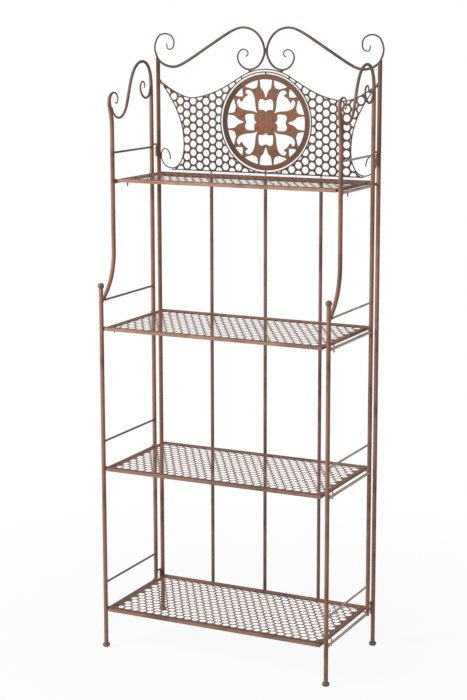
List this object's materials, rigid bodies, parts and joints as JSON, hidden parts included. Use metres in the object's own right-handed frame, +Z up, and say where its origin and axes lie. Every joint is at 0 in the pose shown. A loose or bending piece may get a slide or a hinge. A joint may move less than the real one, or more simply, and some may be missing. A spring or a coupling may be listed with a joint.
{
  "type": "folding etagere",
  "caption": "Tall metal plant shelf: scroll-topped back frame with pierced panel and round medallion, hinged side wings and lift-off perforated shelves.",
  "frame": {"origin": "on the floor under the centre of the footprint", "axes": "+X to the right seen from the front, -Y out of the front, +Z up"},
  "size_m": [0.7174, 0.3676, 1.7743],
  "materials": {
    "bronze_brown": "satin brown with a mottled rust patina",
    "rust_brown": "satin rust brown with a grainy patina",
    "dark_brown": "satin dark brown, lightly worn"
  },
  "bodies": {
    "back_frame": {"back_post_left": "bronze_brown", "back_post_right": "bronze_brown", "back_foot_left": "dark_brown", "back_foot_right": "dark_brown", "crest_scroll_left": "dark_brown", "crest_scroll_right": "dark_brown", "panel_top_border": "dark_brown", "panel_side_border_left": "dark_brown", "panel_side_border_right": "dark_brown", "panel_lower_border": "dark_brown", "perforated_panel_left": "bronze_brown", "perforated_panel_right": "bronze_brown", "medallion": "rust_brown", "upper_rail": "dark_brown", "lower_rail": "dark_brown", "back_bar_left": "dark_brown", "back_bar_centre": "dark_brown", "back_bar_right": "dark_brown", "upper_hinge_socket_left": "bronze_brown", "upper_hinge_socket_right": "bronze_brown", "lower_hinge_socket_left": "bronze_brown", "lower_hinge_socket_right": "bronze_brown"},
    "left_wing": {"rear_stile_left": "bronze_brown", "front_stile_left": "bronze_brown", "front_leg_left": "bronze_brown", "finial_left": "dark_brown", "front_foot_left": "dark_brown", "guard_rod_1_left": "dark_brown", "guard_rod_2_left": "dark_brown", "guard_rod_3_left": "dark_brown", "guard_rod_4_left": "dark_brown", "crossbar_1_left": "dark_brown", "crossbar_2_left": "dark_brown", "crossbar_3_left": "dark_brown", "crossbar_4_left": "dark_brown", "upper_hinge_pin_left": "dark_brown", "lower_hinge_pin_left": "dark_brown"},
    "right_wing": {"rear_stile_right": "bronze_brown", "front_stile_right": "bronze_brown", "front_leg_right": "bronze_brown", "finial_right": "dark_brown", "front_foot_right": "dark_brown", "guard_rod_1_right": "dark_brown", "guard_rod_2_right": "dark_brown", "guard_rod_3_right": "dark_brown", "guard_rod_4_right": "dark_brown", "crossbar_1_right": "dark_brown", "crossbar_2_right": "dark_brown", "crossbar_3_right": "dark_brown", "crossbar_4_right": "dark_brown", "upper_hinge_pin_right": "dark_brown", "lower_hinge_pin_right": "dark_brown"},
    "shelf_1": {"shelf_1_rim": "bronze_brown", "shelf_1_sheet": "bronze_brown"},
    "shelf_2": {"shelf_2_rim": "bronze_brown", "shelf_2_sheet": "bronze_brown"},
    "shelf_3": {"shelf_3_rim": "bronze_brown", "shelf_3_sheet": "bronze_brown"},
    "shelf_4": {"shelf_4_rim": "bronze_brown", "shelf_4_sheet": "bronze_brown"}
  },
  "joints": [
    {"name": "left_wing_swing", "type": "hinge", "parent": "back_frame", "child": "left_wing", "pos_m": [-0.346, 0.16195, 0.12], "axis": [0, 0, -1], "range_deg": [0, 90]},
    {"name": "right_wing_swing", "type": "hinge", "parent": "back_frame", "child": "right_wing", "pos_m": [0.346, 0.16195, 0.12], "axis": [0, 0, 1], "range_deg": [0, 90]},
    {"name": "shelf_1_lift", "type": "slide", "parent": "back_frame", "child": "shelf_1", "axis": [0, 0, 1], "range_m": [0, 0.065]},
    {"name": "shelf_2_lift", "type": "slide", "parent": "back_frame", "child": "shelf_2", "axis": [0, 0, 1], "range_m": [0, 0.065]},
    {"name": "shelf_3_lift", "type": "slide", "parent": "back_frame", "child": "shelf_3", "axis": [0, 0, 1], "range_m": [0, 0.065]},
    {"name": "shelf_4_lift", "type": "slide", "parent": "back_frame", "child": "shelf_4", "axis": [0, 0, 1], "range_m": [0, 0.065]}
  ]
}
